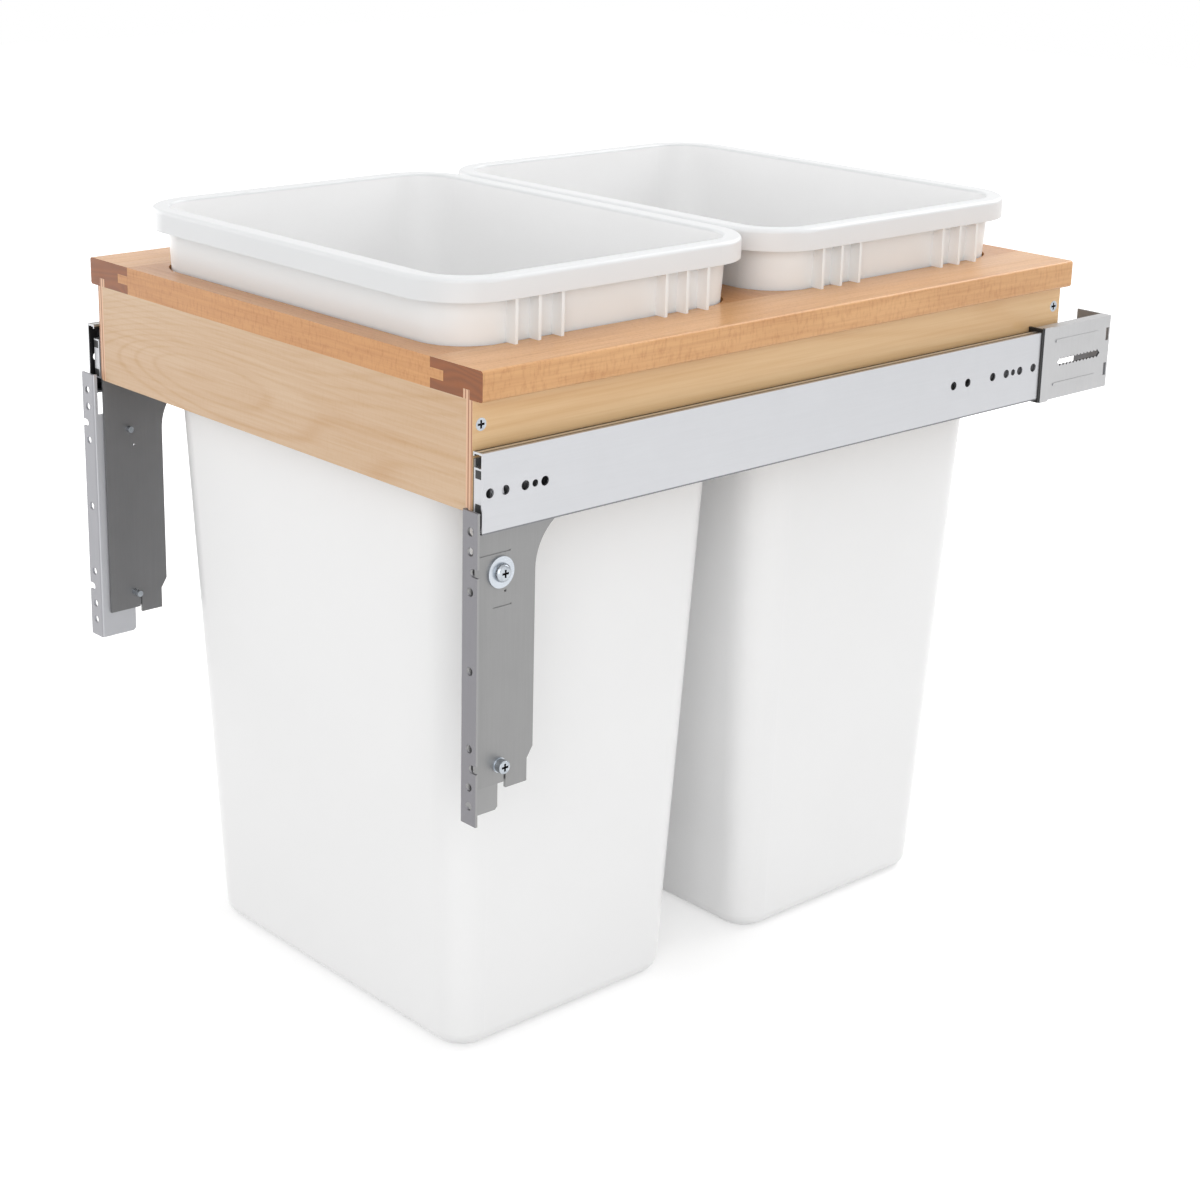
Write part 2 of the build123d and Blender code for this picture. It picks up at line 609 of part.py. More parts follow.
RIGHT_LEG = (PANEL_OUT - ADJUST_FIT - FLANGE_T, PANEL_OUT - ADJUST_FIT)
LEFT_LEG = (-FACE - ADJUST_FIT - FLANGE_T, -FACE - ADJUST_FIT)
door_flange(RIGHT_LEG, (RIGHT_LEG[0], RIGHT_LEG[0] + FLANGE_W), "right_door_flange")
door_flange(LEFT_LEG, (LEFT_LEG[1] - FLANGE_W, LEFT_LEG[1]), "left_door_flange")

# ---- washers and adjusting screws ----
RIGHT_SEAT = FACE
LEFT_SEAT = -LEFT_LEG[0] + ADJUST_FIT
with BuildPart() as washers:
    for outward, seat in ((1, RIGHT_SEAT), (-1, LEFT_SEAT)):
        for height in (ADJUST_HIGH, ADJUST_LOW):
            radius = WASHER_R if height == ADJUST_HIGH else TALL_R + WASHER_EDGE
            with Locations((outward * (seat + WASHER_T / 2), ADJUST_Y, height)):
                Cylinder(radius, WASHER_T, rotation=(0, 90, 0))
                Cylinder(WASHER_BORE_R, WASHER_T, rotation=(0, 90, 0), mode=Mode.SUBTRACT)
save(washers.part, "adjust_washers")

for label, height, head_r, head_h, crown, tip_l in (
    ("pan_head_screws", ADJUST_HIGH, PAN_R, PAN_H, PAN_CROWN, PAN_TIP),
    ("tall_head_screws", ADJUST_LOW, TALL_R, TALL_H, TALL_CROWN, TALL_TIP),
):
    with BuildPart() as adjust_screws:
        for outward, seat in ((1, RIGHT_SEAT), (-1, LEFT_SEAT)):
            under = seat + WASHER_T
            tip = (PANEL_OUT if outward < 0 else RIGHT_LEG[0]) - tip_l
            with Locations((outward * (under + head_h / 2), ADJUST_Y, height)):
                Cylinder(head_r, head_h, rotation=(0, 90, 0))
            with Locations((outward * (under + tip) / 2, ADJUST_Y, height)):
                Cylinder(ADJUST_R, under - tip, rotation=(0, 90, 0))
        crowns = adjust_screws.edges().filter_by(GeomType.CIRCLE).group_by(Axis.X)
        fillet(crowns[0] + crowns[-1], crown)
        for outward, seat in ((1, RIGHT_SEAT), (-1, LEFT_SEAT)):
            cross_cut(outward * (seat + WASHER_T + head_h), ADJUST_Y, height, outward)
    save(adjust_screws.part, label)


# ---- bins ----
def half_sizes(z):
    """Outside half sizes of the tapered bin wall at height z."""
    rise = z - FRAME_TOP
    return BIN_HALF_X + BIN_SLOPE_X * rise, BIN_HALF_Y + BIN_SLOPE_Y * rise


def wall_outline(z, inset, corner):
    """Width, length and corner radius of the wall at height z, moved in by inset."""
    half_x, half_y = half_sizes(z)
    return 2 * (half_x - inset), 2 * (half_y - inset), corner - inset


with BuildPart() as hollow:
    for z, corner in ((BIN_FLOOR + BIN_WALL, BIN_CORNER_LOW), (BIN_RIM_TOP, BIN_CORNER)):
        with BuildSketch(plan_at(z)):
            RectangleRounded(*wall_outline(z, BIN_WALL, corner))
    loft()
    fillet(hollow.faces().sort_by(Axis.Z)[0].edges(), BIN_FOOT_ROUND - BIN_WALL)

with BuildPart() as rim_hollow:
    with BuildSketch(plan_at(BIN_RIM_TOP - RIM_SKIRT)):
        RectangleRounded(
            2 * (RIM_HALF_X - BIN_WALL), 2 * (RIM_HALF_Y - BIN_WALL), RIM_CORNER - BIN_WALL
        )
    extrude(amount=RIM_SKIRT - BIN_WALL)

with BuildPart() as bin_shell:
    with BuildSketch(plan_at(BIN_RIM_TOP - RIM_SKIRT)):
        RectangleRounded(2 * RIM_HALF_X, 2 * RIM_HALF_Y, RIM_CORNER)
    extrude(amount=RIM_SKIRT)
    fillet(bin_shell.faces().sort_by(Axis.Z)[-1].edges(), RIM_ROUND)
    add(rim_hollow.part, mode=Mode.SUBTRACT)
    for side in (-1, 1):
        for step in range(RIB_COUNT):
            place = RIB_FIRST + step * RIB_STEP
            for half in (-1, 1):
                box_between(
                    tuple(sorted((side * (BIN_HALF_X - RIB_ROOT), side * RIB_OUT))),
                    (half * place - RIB_T / 2, half * place + RIB_T / 2),
                    (FRAME_TOP, BIN_RIM_TOP - BIN_WALL / 2),
                )

with BuildPart() as bin_body:
    for z, corner in ((BIN_FLOOR, BIN_CORNER_LOW), (BIN_RIM_TOP, BIN_CORNER)):
        with BuildSketch(plan_at(z)):
            RectangleRounded(*wall_outline(z, 0, corner))
    loft()
    fillet(bin_body.faces().sort_by(Axis.Z)[0].edges(), BIN_FOOT_ROUND)
    add(bin_shell.part)
    add(hollow.part, mode=Mode.SUBTRACT)
    rim_face = bin_body.faces().filter_by(Plane.XY).sort_by(Axis.Z)[-1]
    fillet(rim_face.inner_wires()[0].edges(), RIM_INNER_ROUND)

save(Pos(0, BIN_FRONT_Y, 0) * bin_body.part, "front_bin")
save(Pos(0, BIN_REAR_Y, 0) * bin_body.part, "rear_bin")
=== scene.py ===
import math

import bpy
from mathutils import Matrix, Vector


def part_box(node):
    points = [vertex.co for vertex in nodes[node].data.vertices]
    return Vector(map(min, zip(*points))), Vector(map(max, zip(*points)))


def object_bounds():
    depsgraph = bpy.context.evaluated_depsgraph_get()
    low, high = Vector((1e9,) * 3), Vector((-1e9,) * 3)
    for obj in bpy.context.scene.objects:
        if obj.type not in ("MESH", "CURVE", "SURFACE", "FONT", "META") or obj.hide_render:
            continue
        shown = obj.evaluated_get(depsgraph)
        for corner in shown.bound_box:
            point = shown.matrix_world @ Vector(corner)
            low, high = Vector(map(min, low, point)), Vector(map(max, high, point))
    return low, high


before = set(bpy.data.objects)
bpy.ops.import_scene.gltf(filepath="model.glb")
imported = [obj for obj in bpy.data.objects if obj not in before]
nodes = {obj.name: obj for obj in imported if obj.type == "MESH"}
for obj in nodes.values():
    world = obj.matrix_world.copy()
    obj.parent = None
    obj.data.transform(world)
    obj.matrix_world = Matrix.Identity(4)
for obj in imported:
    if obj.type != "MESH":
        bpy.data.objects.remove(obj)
cad_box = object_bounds()
scene = bpy.context.scene
SIDES = ("left", "right")

# ---- camera at the photograph's viewing angle, in metres, and in pixels of the photograph ----
PHOTO_SIZE = 1200
FOCAL_PX = 2340.29
CENTRE_PX = (540, 500)
CAM_PLACE = Vector((1.2788, -0.8836, 0.4103))
CAM_TURN = math.radians(48.4772)
CAM_RAISE = math.radians(16.7781)
CAM_ROLL = math.radians(0.9471)
SENSOR = 36.0
CLIP_NEAR = 0.05
CLIP_FAR = 50.0


def outward(turn, rise):
    """Unit vector away from the object: turn runs from its front round to its right, rise upwards."""
    return Vector((math.sin(turn) * math.cos(rise), -math.cos(turn) * math.cos(rise), math.sin(rise)))


def make_camera():
    data = bpy.data.cameras.new("photo_camera")
    cam = bpy.data.objects.new("photo_camera", data)
    scene.collection.objects.link(cam)
    back = outward(CAM_TURN, CAM_RAISE)
    right = Vector((math.cos(CAM_TURN), math.sin(CAM_TURN), 0))
    up = back.cross(right)
    side = right * math.cos(CAM_ROLL) + up * math.sin(CAM_ROLL)
    top = up * math.cos(CAM_ROLL) - right * math.sin(CAM_ROLL)
    turn = Matrix((side, top, back)).transposed().to_4x4()
    cam.matrix_world = Matrix.Translation(CAM_PLACE) @ turn
    data.sensor_width = SENSOR
    data.sensor_fit = "HORIZONTAL"
    data.lens = FOCAL_PX / PHOTO_SIZE * SENSOR
    data.shift_x = (PHOTO_SIZE / 2 - CENTRE_PX[0]) / PHOTO_SIZE
    data.shift_y = (CENTRE_PX[1] - PHOTO_SIZE / 2) / PHOTO_SIZE
    data.clip_start = CLIP_NEAR
    data.clip_end = CLIP_FAR
    scene.camera = cam


make_camera()
scene.view_settings.view_transform = "Standard"


# ---- small helpers for node materials ----
# How far a normal points along an axis, from where a face starts to count as square to it.
SQUARE_ON = (0.75, 0.9)


class Nodes:
    """Short names for building one tree of shader nodes."""

    def __init__(self, tree, out_kind):
        self.tree = tree
        self.tree.nodes.clear()
        self.out = self.add(out_kind)

    def add(self, kind, **settings):
        node = self.tree.nodes.new(kind)
        for key, value in settings.items():
            setattr(node, key, value)
        return node

    def set(self, socket, value):
        """Link another node's output to the socket, or give it a fixed value."""
        if hasattr(value, "links"):
            self.tree.links.new(value, socket)
        else:
            socket.default_value = value

    def coordinates(self, kind):
        return self.add("ShaderNodeTexCoord").outputs[kind]

    def place(self, stretch=(1, 1, 1), shift=(0, 0, 0)):
        """Row-frame place in metres, stretched for a texture."""
        mapping = self.add("ShaderNodeMapping")
        self.set(mapping.inputs["Vector"], self.coordinates("Object"))
        mapping.inputs["Scale"].default_value = stretch
        mapping.inputs["Location"].default_value = shift
        return mapping.outputs["Vector"]

    def split(self, vector):
        parts = self.add("ShaderNodeSeparateXYZ")
        self.set(parts.inputs[0], vector)
        return parts.outputs

    def noise(self, vector, scale, detail=4.0, rough=0.5, warp=0.0):
        """Noise with scale bumps in a metre."""
        node = self.add("ShaderNodeTexNoise")
        self.set(node.inputs["Vector"], vector)
        node.inputs["Scale"].default_value = scale
        node.inputs["Detail"].default_value = detail
        node.inputs["Roughness"].default_value = rough
        node.inputs["Distortion"].default_value = warp
        return node.outputs["Fac"]

    def span(self, value, low, high, to_low=0.0, to_high=1.0):
        """Value stretched from low..high to to_low..to_high, and held at the ends."""
        node = self.add("ShaderNodeMapRange")
        self.set(node.inputs["Value"], value)
        node.inputs["From Min"].default_value = low
        node.inputs["From Max"].default_value = high
        node.inputs["To Min"].default_value = to_low
        node.inputs["To Max"].default_value = to_high
        return node.outputs["Result"]

    def math(self, kind, a, b=0.0, c=0.0):
        node = self.add("ShaderNodeMath", operation=kind)
        for socket, value in zip(node.inputs, (a, b, c)):
            self.set(socket, value)
        return node.outputs[0]

    def all_of(self, first, *others):
        """Product of masks."""
        for other in others:
            first = self.math("MULTIPLY", first, other)
        return first

    def opposite(self, mask):
        return self.math("SUBTRACT", 1.0, mask)

    def between(self, value, low, high):
        """1 where the value lies between two limits, 0 elsewhere."""
        return self.all_of(self.math("GREATER_THAN", value, low), self.math("LESS_THAN", value, high))

    def along(self, axis):
        """Distance along one axis of the row frame, in metres."""
        return self.split(self.place())[axis]

    def facing(self, axis):
        """1 on faces square to an axis of the piece, 0 elsewhere."""
        towards = self.split(self.coordinates("Normal"))[axis]
        return self.span(self.math("ABSOLUTE", towards), *SQUARE_ON)

    def mix(self, fac, a, b, blend="MIX"):
        node = self.add("ShaderNodeMix", data_type="RGBA", blend_type=blend)
        self.set(node.inputs[0], fac)
        self.set(node.inputs[6], a)
        self.set(node.inputs[7], b)
        return node.outputs[2]

    def bump(self, height, strength, distance):
        node = self.add("ShaderNodeBump")
        self.set(node.inputs["Height"], height)
        node.inputs["Strength"].default_value = strength
        node.inputs["Distance"].default_value = distance
        return node.outputs["Normal"]

    def seen(self, *rays):
        """1 for light rays of any of the named kinds, 0 for others."""
        path = self.add("ShaderNodeLightPath")
        first = path.outputs[rays[0]]
        for ray in rays[1:]:
            first = self.math("MAXIMUM", first, path.outputs[ray])
        return first


class Surface(Nodes):
    """Nodes of one new material."""

    def __init__(self, name):
        self.mat = bpy.data.materials.new(name)
        self.mat.use_nodes = True
        super().__init__(self.mat.node_tree, "ShaderNodeOutputMaterial")

    def principled(self, **values):
        shader = self.add("ShaderNodeBsdfPrincipled")
        for key, value in values.items():
            self.set(shader.inputs[key.replace("_", " ")], value)
        self.set(self.out.inputs["Surface"], shader.outputs["BSDF"])
        return self.mat


def rgb(red, green, blue):
    """sRGB 0-255 written as a linear colour."""
    def linear(c):
        c /= 255
        return c / 12.92 if c <= 0.04045 else ((c + 0.055) / 1.055) ** 2.4
    return (linear(red), linear(green), linear(blue), 1.0)


def dimmed(colour, share):
    """The colour times a share, at most white."""
    return tuple(min(1.0, c * share) for c in colour[:3]) + (1.0,)


# ---- wood ----
BUMP_DEPTH = 0.0003
LACQUER = {"Specular_IOR_Level": 0.3, "Coat_Weight": 0.3, "Coat_Roughness": 0.08}
LACQUER_ROUGH = (0.34, 0.44)
STILE_END = rgb(149, 80, 22)
PLY_LAYER = 0.003
PLY_PALE = rgb(226, 184, 150)
PLY_DEEP = rgb(168, 112, 82)


def grain_vector(n, axis, squeeze, shift):
    """Place squeezed along the grain, so that a texture stretches out along it."""
    stretch = [1.0, 1.0, 1.0]
    stretch[axis] = squeeze
    return n.place(stretch, shift)


def ray_vector(n, axis, shift):
    """Place for the short dashes of the wood's rays, which stand upright on its sides."""
    stretch = [1.0, 1.0, 0.25]
    stretch[axis] = 0.7
    return n.place(stretch, shift)


def end_grain(n, end, shift):
    """Brown end of a board, with bent growth lines and pores."""
    growth = n.noise(n.place((0.35, 0.0, 1.0), shift), scale=16, detail=2, rough=0.4, warp=0.6)
    growth = n.span(n.math("SINE", n.math("MULTIPLY", growth, 70 * math.pi)), -1, 1)
    pores = n.noise(n.place(), scale=1500, detail=2)
    tone = n.math("MULTIPLY_ADD", pores, 0.4, n.math("MULTIPLY", growth, 0.6))
    return n.mix(tone, end, dimmed(end, 0.68))


def wood(name, pale, deep, axis, shift, figure=0.3, rings=40.0, end=None, rays=0.3, reach=0.2):
    """Lacquered maple: wavy growth lines, soft bands and short flecks along the grain.

    axis is the grain's, figure the strength of the growth lines, rings their number, reach how
    short they are along the grain, rays the strength of the flecks, and end the end grain's colour.
    """
    n = Surface(name)
    field = n.noise(grain_vector(n, axis, reach, shift), scale=6, detail=2, rough=0.5, warp=0.5)
    lines = n.math("SINE", n.math("MULTIPLY", field, rings * math.pi))
    lines = n.math("POWER", n.span(lines, -1, 1), 5.0)
    breaks = n.noise(grain_vector(n, axis, 0.35, shift), scale=9, detail=2)
    lines = n.math("MULTIPLY", lines, n.span(breaks, 0.35, 0.6))
    bands = n.noise(grain_vector(n, axis, 0.05, shift), scale=70, detail=4, rough=0.55, warp=0.3)
    streaks = n.noise(grain_vector(n, axis, 0.03, shift), scale=420, detail=3, rough=0.6)
    clouds = n.noise(grain_vector(n, axis, 0.4, shift), scale=14, detail=3, rough=0.5)
    flecks = n.noise(ray_vector(n, axis, shift), scale=620, detail=2, rough=0.6)
    tone = n.math("MULTIPLY_ADD", lines, figure, n.span(bands, 0.3, 0.75, 0.0, 0.25))
    tone = n.math("ADD", tone, n.span(clouds, 0.3, 0.7, 0.0, 0.25))
    tone = n.math("ADD", tone, n.span(streaks, 0.4, 0.7, 0.0, 0.35))
    tone = n.math("MULTIPLY_ADD", n.span(flecks, 0.5, 0.68), rays, tone)
    colour = n.mix(tone, pale, deep)
    if end:
        colour = n.mix(n.facing(axis), colour, end_grain(n, end, shift))
    height = n.math("MULTIPLY_ADD", streaks, -0.7, n.math("MULTIPLY", bands, 0.3))
    return n.principled(
        Base_Color=colour,
        Roughness=n.span(bands, 0.3, 0.7, *LACQUER_ROUGH),
        Normal=n.bump(height, 0.1, BUMP_DEPTH),
        **LACQUER,
    )


def ply_side(name, pale, deep, shift):
    """Maple-faced side panel whose front and back edges show the glue line and the layers."""
    n = Surface(name)
    field = n.noise(grain_vector(n, 1, 0.1, shift), scale=7, detail=2, rough=0.5, warp=0.4)
    lines = n.math("POWER", n.span(n.math("SINE", n.math("MULTIPLY", field, 90)), -1, 1), 4.0)
    bands = n.noise(grain_vector(n, 1, 0.03, shift), scale=50, detail=4, rough=0.55, warp=0.2)
    streaks = n.noise(grain_vector(n, 1, 0.02, shift), scale=420, detail=3, rough=0.6)
    tone = n.math("MULTIPLY_ADD", lines, 0.2, n.span(bands, 0.3, 0.75, 0.0, 0.4))
    tone = n.math("ADD", tone, n.span(streaks, 0.4, 0.75, 0.0, 0.3))
    colour = n.mix(tone, pale, deep)
    depth = n.math("ABSOLUTE", n.along(0))
    layers = n.math("SINE", n.math("MULTIPLY", depth, 2 * math.pi / PLY_LAYER))
    across = n.mix(n.span(layers, 0.2, 0.7), PLY_PALE, PLY_DEEP)
    return n.principled(
        Base_Color=n.mix(n.facing(1), colour, across),
        Roughness=n.span(bands, 0.3, 0.7, *LACQUER_ROUGH),
        Normal=n.bump(streaks, 0.08, BUMP_DEPTH),
        **LACQUER,
    )


# ---- steel ----
# Painted shade in the screws' cross recess: its radius, the depths it spans, and its colour.
RECESS_R = 0.0028
RECESS_DEEP = 0.0015
RECESS_TOP = 0.0003
RECESS_SHADE = (0.02, 0.02, 0.022, 1.0)
SCREW_DULL = rgb(158, 164, 171)
SCREW_BRIGHT = rgb(184, 190, 196)
# Painted shade inside the slides, where little light reaches: hidden stretches of the middle member and
# the bracket's tongue, and the outer members' inside.
INSIDE_SHADE = rgb(62, 62, 64)
INSIDE_SHADE_FRONT = rgb(58, 58, 60)
INSIDE_SHADE_BACK = rgb(146, 146, 149)
INSIDE_SHADE_FADE = (0.015, 0.09)
# Painted shade on the walls of the rear bracket's toothed slot.
SLOT_SHADE = rgb(70, 71, 73)
SLOT_BAND = 0.012
SHEET_T = 0.0012
HAIR = 0.0001
# Painted shade line at an outer member's lower bend: its colour and height.
BEND_SHADE = rgb(120, 121, 124)
BEND_H = 0.001
SLIDE_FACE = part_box("right_inner_member")[0].x
SLIDE_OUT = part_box("right_outer_member")[1].x
SLIDE_HALF_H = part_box("right_outer_member")[1].z
MIDDLE_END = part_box("right_middle_member")[1].y
PLATE_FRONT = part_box("right_rear_collar")[1].y
PLATE_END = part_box("right_rear_bracket")[1].y
MIDDLE_INSIDE_SHADE = (MIDDLE_END - 0.012, MIDDLE_END + 0.102)
TONGUE_INSIDE_SHADE = (0.4, PLATE_FRONT)
SLOT_END = PLATE_END - 0.003
# Painted shade, highlight and reflection lines on an outer member's top: where each begins and ends out
# from SLIDE_FACE, and its colour.
TOP_SHADE_AND_GLINT = (
    (0.0018, 0.0042, rgb(58, 54, 48)),
    (0.0042, 0.0070, rgb(214, 213, 208)),
    (0.0070, 0.0088, rgb(112, 108, 100)),
)


def screw_steel(name, axis=None):
    """Bright zinc plate, with painted shade down in the cross recess of the heads, which face out on
    both sides.

    axis is the heads' middle in Y and Z; where it is given, only what lies close to it is darkened.
    """
    n = Surface(name)
    clouds = n.noise(n.place(), scale=220, detail=3, rough=0.6)
    x = n.along(0)
    low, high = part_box(name)
    recess = n.math(
        "MAXIMUM",
        n.between(x, high.x - RECESS_DEEP, high.x - RECESS_TOP),
        n.between(x, low.x + RECESS_TOP, low.x + RECESS_DEEP),
    )
    if axis:
        away = n.math("SUBTRACT", n.along(1), axis[0])
        above = n.math("SUBTRACT", n.along(2), axis[1])
        square = n.math("MULTIPLY_ADD", away, away, n.math("MULTIPLY", above, above))
        recess = n.all_of(recess, n.math("LESS_THAN", square, RECESS_R ** 2))
    base = n.mix(n.span(clouds, 0.3, 0.7), SCREW_DULL, SCREW_BRIGHT)
    return n.principled(
        Base_Color=n.mix(recess, base, RECESS_SHADE),
        Metallic=0.9,
        Roughness=n.span(clouds, 0.3, 0.7, 0.2, 0.3),
    )


def metal(name, colour, rough=0.38, metallic=0.85, axis=1, cloud=0.02, details=()):
    """Zinc-plated sheet: rolling lines along one axis over a faint cloud of plating.

    details are functions that take the nodes and the colour so far, and give the next colour.
    Each one paints over those before it.
    """
    n = Surface(name)
    lines = n.noise(grain_vector(n, axis, 0.03, (0, 0, 0)), scale=900, detail=3, rough=0.5)
    clouds = n.noise(n.place(), scale=45, detail=4, rough=0.6)
    tone = n.math("MULTIPLY_ADD", lines, 0.4, n.math("MULTIPLY", clouds, 0.6))
    base = n.mix(n.span(tone, 0.35, 0.65), dimmed(colour, 1 - 2.5 * cloud), dimmed(colour, 1 + cloud))
    for detail in details:
        base = detail(n, base)
    return n.principled(
        Base_Color=base,
        Metallic=metallic,
        Roughness=n.span(clouds, 0.3, 0.7, rough - 0.03, rough + 0.03),
        Normal=n.bump(lines, 0.04, 0.0002),
    )


def shaded_stretch(low, high):
    """Stretch of Y that lies inside the slide, painted dark as shade."""
    return lambda n, base: n.mix(n.between(n.along(1), low, high), base, INSIDE_SHADE)


def face_light_and_shade(axis, colour):
    """Faces square to one axis in a tone of their own: painted light and shade by the way a face turns.
    """
    return lambda n, base: n.mix(n.facing(axis), base, colour)


def slot_walls(n, base):
    """Walls of the toothed slot in a rear bracket's plate, painted dark as shade."""
    slot = n.all_of(
        n.between(n.along(1), PLATE_FRONT, SLOT_END),
        n.between(n.along(2), -SLOT_BAND, SLOT_BAND),
        n.opposite(n.facing(0)),
    )
    return n.mix(slot, base, SLOT_SHADE)


def top_shade_and_glint(n, base):
    """Thin painted lines along the rolled top of an outer member: shade at the gap, a highlight, and a
    dark brownish reflection of the wood.
    """
    out = n.math("ABSOLUTE", n.along(0))
    top = n.all_of(n.facing(2), n.math("GREATER_THAN", n.along(2), 0.0))
    for low, high, colour in TOP_SHADE_AND_GLINT:
        base = n.mix(n.all_of(top, n.between(out, SLIDE_FACE + low, SLIDE_FACE + high)), base, colour)
    return base


def bottom_bend_shade(n, base):
    """Thin painted line of shade where an outer member bends into its lower flange."""
    bend = n.between(n.along(2), -SLIDE_HALF_H - 2 * HAIR, -SLIDE_HALF_H + BEND_H)
    return n.mix(n.all_of(bend, n.opposite(n.facing(2))), base, BEND_SHADE)


def shaded_inside(n, base):
    """Inside of an outer member, painted dark as shade, darkest at its front."""
    out = n.math("ABSOLUTE", n.along(0))
    within = n.all_of(
        n.math("LESS_THAN", n.math("ABSOLUTE", n.along(2)), SLIDE_HALF_H - SHEET_T - HAIR),
        n.math("LESS_THAN", out, SLIDE_OUT - SHEET_T + HAIR),
        n.opposite(n.facing(1)),
    )
    return n.mix(within, base, n.mix(n.span(n.along(1), *INSIDE_SHADE_FADE), INSIDE_SHADE_FRONT, INSIDE_SHADE_BACK))


# ---- plastic ----
BIN_NAMES = ("front_bin", "rear_bin")
# Painted light on the bins: the inside lighter, the rim greyer as shade, and the collar under the rim
# cooler to cancel the wood's warm bounce light.
BIN_WHITE = rgb(247, 247, 247)
BIN_INSIDE_LIT = rgb(251, 251, 251)
BIN_RIM_SHADE = rgb(228, 229, 230)
COLLAR_BOUNCE_TINT = rgb(242, 246, 248)
RIM_H = 0.0155
RIM_EDGE = (0.0025, 0.0012)
COLLAR_SINK = 0.004
WALL_OUTSIDE = (-0.06, -0.02)
BLACK = rgb(22, 22, 23)
PATCH_SHADE = 0.97
BLACK_ROUGH = (0.44, 0.56)
BIN_ROUGH = (0.26, 0.38)
BLACK_BUMP = 0.2
BIN_BUMP = 0.03


def black_plastic(name):
    """Moulded plastic with a faint orange peel and slow unevenness of sheen."""
    n = Surface(name)
    peel = n.noise(n.place(), scale=350, detail=3, rough=0.5)
    patch = n.noise(n.place(), scale=12, detail=2, rough=0.5)
    return n.principled(
        Base_Color=n.mix(n.span(patch, 0.0, 1.0), dimmed(BLACK, PATCH_SHADE), BLACK),
        Roughness=n.span(patch, 0.0, 1.0, *BLACK_ROUGH),
        Normal=n.bump(peel, BLACK_BUMP, BUMP_DEPTH),
    )


def bin_plastic(name):
    """White moulded bin: its rim painted a shade greyer as painted shade, its inside painted lighter as
    painted light, and the collar under the rim painted cooler to cancel the wood's warm bounce light.
    """
    low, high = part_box(name)
    rim_low = high.z - RIM_H
    collar_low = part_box("left_stile")[1].z - COLLAR_SINK
    n = Surface(name)
    peel = n.noise(n.place(), scale=350, detail=3, rough=0.5)
    patch = n.noise(n.place(), scale=12, detail=2, rough=0.5)
    spot = n.split(n.place(shift=(0, -(low.y + high.y) / 2, 0)))
    turned = n.split(n.coordinates("Normal"))
    away = n.math("MULTIPLY_ADD", spot[1], turned[1], n.math("MULTIPLY", spot[0], turned[0]))
    outside = n.span(away, *WALL_OUTSIDE)
    collar_bounce_tint = n.all_of(outside, n.span(spot[2], collar_low, collar_low + COLLAR_SINK))
    rim_shade = n.all_of(outside, n.math("GREATER_THAN", spot[2], rim_low))
    rim_shade = n.math("MAXIMUM", rim_shade, n.span(spot[2], high.z - RIM_EDGE[0], high.z - RIM_EDGE[1]))
    base = n.mix(outside, BIN_INSIDE_LIT, BIN_WHITE)
    base = n.mix(collar_bounce_tint, base, COLLAR_BOUNCE_TINT)
    base = n.mix(rim_shade, base, BIN_RIM_SHADE)
    return n.principled(
        Base_Color=n.mix(1.0, base, n.span(patch, 0.0, 1.0, PATCH_SHADE, 1.0), "MULTIPLY"),
        Roughness=n.span(patch, 0.0, 1.0, *BIN_ROUGH),
        Normal=n.bump(peel, BIN_BUMP, BUMP_DEPTH),
    )


# ---- the looks of each material, by its name ----
ZINC = rgb(189, 190, 193)
WOODS = {
    "maple_stile": {
        "pale": rgb(224, 174, 121),
        "deep": rgb(189, 133, 83),
        "axis": 1,
        "shift": (0.3, 0.1, 0.2),
        "end": STILE_END,
    },
    "maple_rail": {
        "pale": rgb(216, 159, 101),
        "deep": rgb(180, 117, 63),
        "axis": 0,
        "shift": (0.1, 0.4, 0.6),
        "figure": 0.2,
    },
    "apron_front": {
        "pale": rgb(217, 188, 156),
        "deep": rgb(196, 154, 110),
        "axis": 0,
        "shift": (0.7, 0.2, 0.1),
        "rings": 110.0,
        "rays": 0.08,
        "reach": 0.14,
    },
}
APRON_SIDE = {"pale": rgb(232, 198, 151), "deep": rgb(207, 160, 108), "shift": (0.5, 0.5, 0.9)}
SLIDE_METALS = {
    "slide_steel": {"colour": ZINC, "cloud": 0.012},
    "outer_steel": {
        "colour": ZINC,
        "cloud": 0.012,
        "details": (top_shade_and_glint, bottom_bend_shade, shaded_inside),
    },
    "middle_steel": {"colour": rgb(170, 171, 174), "details": (shaded_stretch(*MIDDLE_INSIDE_SHADE),)},
    "cage_steel": {"colour": rgb(150, 150, 150), "rough": 0.35},
    "ball_steel": {"colour": rgb(215, 215, 218), "rough": 0.12},
    "washer_steel": {"colour": rgb(190, 196, 203), "rough": 0.28, "metallic": 0.9, "cloud": 0.04},
}
PLATE_METALS = {
    # Painted shade on the bracket: on the tongue's hidden stretch, on the faces square to Y and on the
    # slot walls.
    "bracket_steel": {
        "colour": rgb(184, 184, 185),
        "rough": 0.40,
        "details": (shaded_stretch(*TONGUE_INSIDE_SHADE), face_light_and_shade(1, rgb(136, 140, 146)), slot_walls),
    },
    "arm_steel": {"colour": rgb(142, 142, 142)},
    # Painted shade: the left arm wears a darker copy of the arm steel.
    "left_arm_shaded_steel": {"colour": rgb(122, 122, 123)},
    # Painted light: the flange's faces square to X are lighter.
    "flange_steel": {
        "colour": rgb(130, 129, 133),
        "details": (face_light_and_shade(0, rgb(146, 146, 146)),),
    },
    # Painted light: the left flange wears a lighter copy of the flange steel, its faces square to X
    # lighter still.
    "left_flange_lit_steel": {
        "colour": rgb(155, 155, 159),
        "details": (face_light_and_shade(0, rgb(190, 191, 195)),),
    },
}
SCREW_AXES = {
    "panel_screws": None,
    "slide_screws": None,
    "pan_head_screws": (0.022, -0.0573),
    "tall_head_screws": (0.022, -0.188),
}

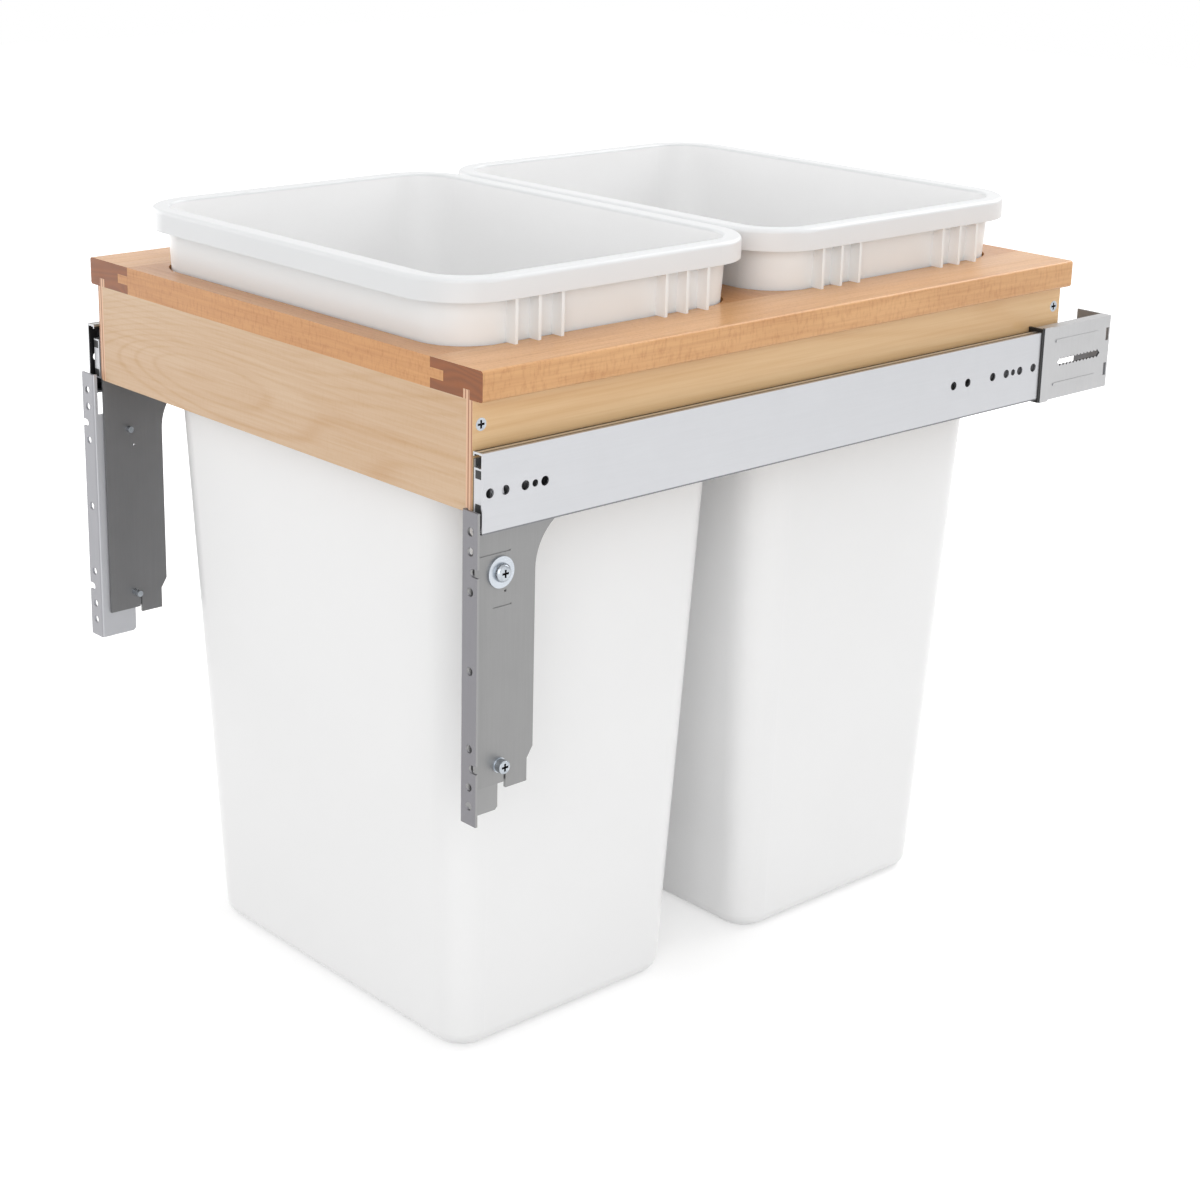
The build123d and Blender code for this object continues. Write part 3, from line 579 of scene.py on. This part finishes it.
# ---- which node wears which material; the screws and bins wear the one of their own name ----
DRESS = {
    "front_rail": "maple_rail",
    "middle_rail": "maple_rail",
    "back_rail": "maple_rail",
    "front_panel": "apron_front",
    "back_panel": "apron_front",
    "adjust_washers": "washer_steel",
}
DRESS_BOTH_SIDES = {
    "stile": "maple_stile",
    "side_panel": "apron_side",
    "outer_member": "outer_steel",
    "middle_member": "middle_steel",
    "inner_member": "slide_steel",
    "outer_ball_cage": "cage_steel",
    "inner_ball_cage": "cage_steel",
    "outer_balls": "ball_steel",
    "inner_balls": "ball_steel",
    "front_bumper": "black_plastic",
    "rear_collar": "black_plastic",
    "rear_bracket": "bracket_steel",
    "bracket_arm": "arm_steel",
    "door_flange": "flange_steel",
}
# The left arm and flange wear shaded and lit copies of the right ones' steel, as painted shade and
# light.
DRESS_LEFT_ONLY = {
    "left_bracket_arm": "left_arm_shaded_steel",
    "left_door_flange": "left_flange_lit_steel",
}


def make_materials():
    mats = {name: wood(name, **looks) for name, looks in WOODS.items()}
    mats["apron_side"] = ply_side("apron_side", **APRON_SIDE)
    mats.update({name: metal(name, **looks) for name, looks in SLIDE_METALS.items()})
    for name, looks in PLATE_METALS.items():
        mats[name] = metal(name, **{"rough": 0.45, "metallic": 0.7, "axis": 2, **looks})
    mats.update({name: screw_steel(name, axis) for name, axis in SCREW_AXES.items()})
    mats["black_plastic"] = black_plastic("black_plastic")
    mats.update({name: bin_plastic(name) for name in BIN_NAMES})
    return mats


def dress_nodes():
    mats = make_materials()
    dress = {f"{side}_{node}": mat for side in SIDES for node, mat in DRESS_BOTH_SIDES.items()}
    dress.update(DRESS)
    dress.update(DRESS_LEFT_ONLY)
    for name, obj in nodes.items():
        obj.data.materials.clear()
        obj.data.materials.append(mats[dress.get(name, name)])


dress_nodes()

# ---- floor, backdrop and light ----
LAMP_TARGET = Vector((0, 0.29, -0.15))
LAMP_SIZE = 1.8
# Each lamp's turn and rise in degrees as the camera's, distance in metres, and level.
LAMPS = {
    "key": (48, 18, 2.6, 0.32),
    "left_fill": (-78, 10, 2.6, 0.36),
    "front_fill": (-24, 12, 2.6, 0.10),
    "side_fill": (106, 12, 2.6, 0.08),
    "back_fill": (172, 35, 2.8, 0.42),
    "top": (0, 90, 2.2, 0.25),
}
WORLD_LIGHT = 0.54
FLOOR_Z = cad_box[0].z
FLOOR_SIZE = 12.0
FLOOR_GREY = (0.65, 0.65, 0.65, 1.0)
FLOOR_GLOSS_GLOW = 0.76
# The floor's glow for the camera: distance in metres and strength, near the object and far off.
FLOOR_NEAR = (0.6, 0.44)
FLOOR_FAR = (1.3, 0.8)
WHITE = (1.0, 1.0, 1.0, 1.0)


def make_floor():
    """Pale floor that looks white in the open and keeps the object's shadow.

    Its glow for the camera grows with the distance from the object, as the lamps' light falls off.
    """
    mesh = bpy.data.meshes.new("floor")
    half = FLOOR_SIZE / 2
    corners = [(x, y, FLOOR_Z) for x, y in ((-half, -half), (half, -half), (half, half), (-half, half))]
    mesh.from_pydata(corners, [], [(0, 1, 2, 3)])
    floor = bpy.data.objects.new("floor", mesh)
    scene.collection.objects.link(floor)
    n = Surface("pale_floor")
    diffuse = n.add("ShaderNodeBsdfDiffuse")
    n.set(diffuse.inputs["Color"], FLOOR_GREY)
    away = n.add("ShaderNodeVectorMath", operation="LENGTH")
    n.set(away.inputs[0], n.place(shift=(0, -LAMP_TARGET.y, 0)))
    distances, glows = zip(FLOOR_NEAR, FLOOR_FAR)
    direct = n.span(away.outputs["Value"], *distances, *glows)
    direct = n.math("MULTIPLY", n.seen("Is Camera Ray"), direct)
    mirrored = n.math("MULTIPLY", n.seen("Is Glossy Ray", "Is Transmission Ray"), FLOOR_GLOSS_GLOW)
    glow = n.add("ShaderNodeEmission")
    n.set(glow.inputs["Color"], WHITE)
    n.set(glow.inputs["Strength"], n.math("MAXIMUM", mirrored, direct))
    both = n.add("ShaderNodeAddShader")
    n.set(both.inputs[0], diffuse.outputs[0])
    n.set(both.inputs[1], glow.outputs[0])
    n.set(n.out.inputs["Surface"], both.outputs[0])
    mesh.materials.append(n.mat)


def make_world():
    """White to the camera and in reflections, and a softer light on the object."""
    world = bpy.data.worlds.new("studio")
    scene.world = world
    world.use_nodes = True
    n = Nodes(world.node_tree, "ShaderNodeOutputWorld")
    seen = n.seen("Is Camera Ray", "Is Glossy Ray", "Is Transmission Ray")
    back = n.add("ShaderNodeBackground")
    n.set(back.inputs["Color"], WHITE)
    n.set(back.inputs["Strength"], n.span(seen, 0.0, 1.0, WORLD_LIGHT, 1.0))
    n.set(n.out.inputs["Surface"], back.outputs["Background"])


def lamp(name, turn, rise, distance, level):
    """Square softbox aimed at the middle; level is the share of a plain white level it gives face on."""
    data = bpy.data.lights.new(name, "AREA")
    data.shape = "SQUARE"
    data.size = LAMP_SIZE
    data.energy = level * math.pi ** 2 * distance ** 2
    obj = bpy.data.objects.new(name, data)
    scene.collection.objects.link(obj)
    away = outward(math.radians(turn), math.radians(rise))
    obj.location = LAMP_TARGET + away * distance
    obj.rotation_euler = (-away).to_track_quat("-Z", "Y").to_euler()


make_floor()
make_world()
for lamp_name, setting in LAMPS.items():
    lamp(lamp_name, *setting)
